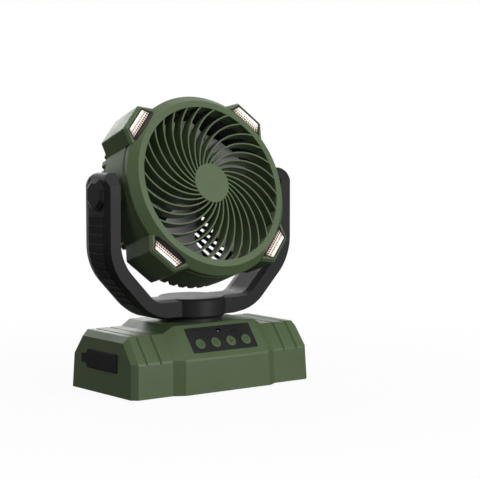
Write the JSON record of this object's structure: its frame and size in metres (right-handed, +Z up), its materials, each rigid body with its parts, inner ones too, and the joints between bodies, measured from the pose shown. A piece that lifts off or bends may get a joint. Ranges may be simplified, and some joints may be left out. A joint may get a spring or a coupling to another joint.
{
  "type": "camping fan",
  "caption": "Portable tabletop camping fan: rectangular base with push buttons, swivelling U yoke and a tilting round head with spiral grille and corner lamps.",
  "frame": {"origin": "middle of the base's footprint, on the surface that the rubber feet stand on", "axes": "+Z up; the fan blows towards -Y, which is its front with the buttons; +X is to the right of someone who faces it"},
  "size_m": [0.2352, 0.1288, 0.2926],
  "materials": {
    "green_plastic": "fine moulded texture, army green",
    "black_plastic": "fine moulded texture, black",
    "panel_plastic": "smooth dark grey",
    "black_rubber": "soft matte black",
    "grey_plastic": "mid grey, satin",
    "lamp_lens_plastic": "clear prismatic lens over warm white lamps",
    "lens_black": "glossy infrared black",
    "indicator_plastic": "smoked light pipe",
    "steel": "zinc plated",
    "circuit_board": "green solder mask",
    "board_components": "black parts",
    "cell_wrap": "shrink-wrapped steel cells"
  },
  "bodies": {
    "base": {"base_shell": "green_plastic", "base_bottom_cover": "black_plastic", "rubber_feet": "black_rubber", "base_screws": "steel", "control_panel": "panel_plastic", "control_board": "circuit_board", "ir_lens": "lens_black", "indicator_lights": "indicator_plastic", "tact_switches": "board_components", "port_plate": "black_plastic", "port_sockets": "steel", "port_tether": "black_rubber", "battery_cells": "cell_wrap", "battery_holder": "black_plastic", "main_board": "circuit_board", "board_parts": "board_components", "swivel_collar": "black_plastic", "swivel_bush": "grey_plastic"},
    "yoke_frame": {"yoke": "black_plastic", "grip_left": "black_rubber", "grip_right": "black_rubber", "pivot_cap_left": "black_plastic", "pivot_cap_right": "black_plastic", "tilt_stub_left": "steel", "tilt_stub_right": "steel", "swivel_spindle": "steel", "swivel_washer": "steel", "swivel_nut": "steel"},
    "fan_head": {"front_grille": "green_plastic", "head_housing": "green_plastic", "rear_grille": "black_plastic", "duct_liner": "black_plastic", "lamp_lens_upper_right": "lamp_lens_plastic", "lamp_lens_upper_left": "lamp_lens_plastic", "lamp_lens_lower_left": "lamp_lens_plastic", "lamp_lens_lower_right": "lamp_lens_plastic", "lamp_bezel_upper_right": "panel_plastic", "lamp_bezel_upper_left": "panel_plastic", "lamp_bezel_lower_left": "panel_plastic", "lamp_bezel_lower_right": "panel_plastic", "lamp_boards": "circuit_board", "motor": "steel", "motor_screws": "steel"},
    "rotor": {"impeller": "grey_plastic", "impeller_shaft": "steel", "impeller_nut": "steel"},
    "port_lid": {"port_cover": "black_rubber"},
    "hook": {"hanging_hook": "black_plastic"},
    "button_timer_key": {"button_timer": "green_plastic"},
    "button_power_key": {"button_power": "green_plastic"},
    "button_speed_key": {"button_speed": "green_plastic"},
    "button_light_key": {"button_light": "green_plastic"}
  },
  "joints": [
    {"name": "yoke_swivel", "type": "hinge", "parent": "base", "child": "yoke_frame", "pos_m": [0, 0, 0.0706], "axis": [0, 0, 1], "range_deg": [-180, 180]},
    {"name": "head_tilt", "type": "hinge", "parent": "yoke_frame", "child": "fan_head", "pos_m": [0, 0, 0.1943], "axis": [-1, 0, 0], "range_deg": [-109.4, 70.5]},
    {"name": "impeller_spin", "type": "hinge", "parent": "fan_head", "child": "rotor", "pos_m": [0, 0, 0.1943], "axis": [0, -0.9429, 0.333], "continuous": true},
    {"name": "port_cover_hinge", "type": "hinge", "parent": "base", "child": "port_lid", "pos_m": [-0.10951, 0.02745, 0.03303], "axis": [-0.0406, 0, -0.9992], "range_deg": [0, 120]},
    {"name": "hook_fold", "type": "hinge", "parent": "base", "child": "hook", "pos_m": [0, -0.022, 0.0062], "axis": [-1, 0, 0], "range_deg": [0, 92]},
    {"name": "press_timer", "type": "slide", "parent": "base", "child": "button_timer_key", "axis": [0, 0.7902, -0.6129], "range_m": [0, 0.0008], "stiffness_N_per_m": 1500},
    {"name": "press_power", "type": "slide", "parent": "base", "child": "button_power_key", "axis": [0, 0.7902, -0.6129], "range_m": [0, 0.0008], "stiffness_N_per_m": 1500},
    {"name": "press_speed", "type": "slide", "parent": "base", "child": "button_speed_key", "axis": [0, 0.7902, -0.6129], "range_m": [0, 0.0008], "stiffness_N_per_m": 1500},
    {"name": "press_light", "type": "slide", "parent": "base", "child": "button_light_key", "axis": [0, 0.7902, -0.6129], "range_m": [0, 0.0008], "stiffness_N_per_m": 1500}
  ]
}
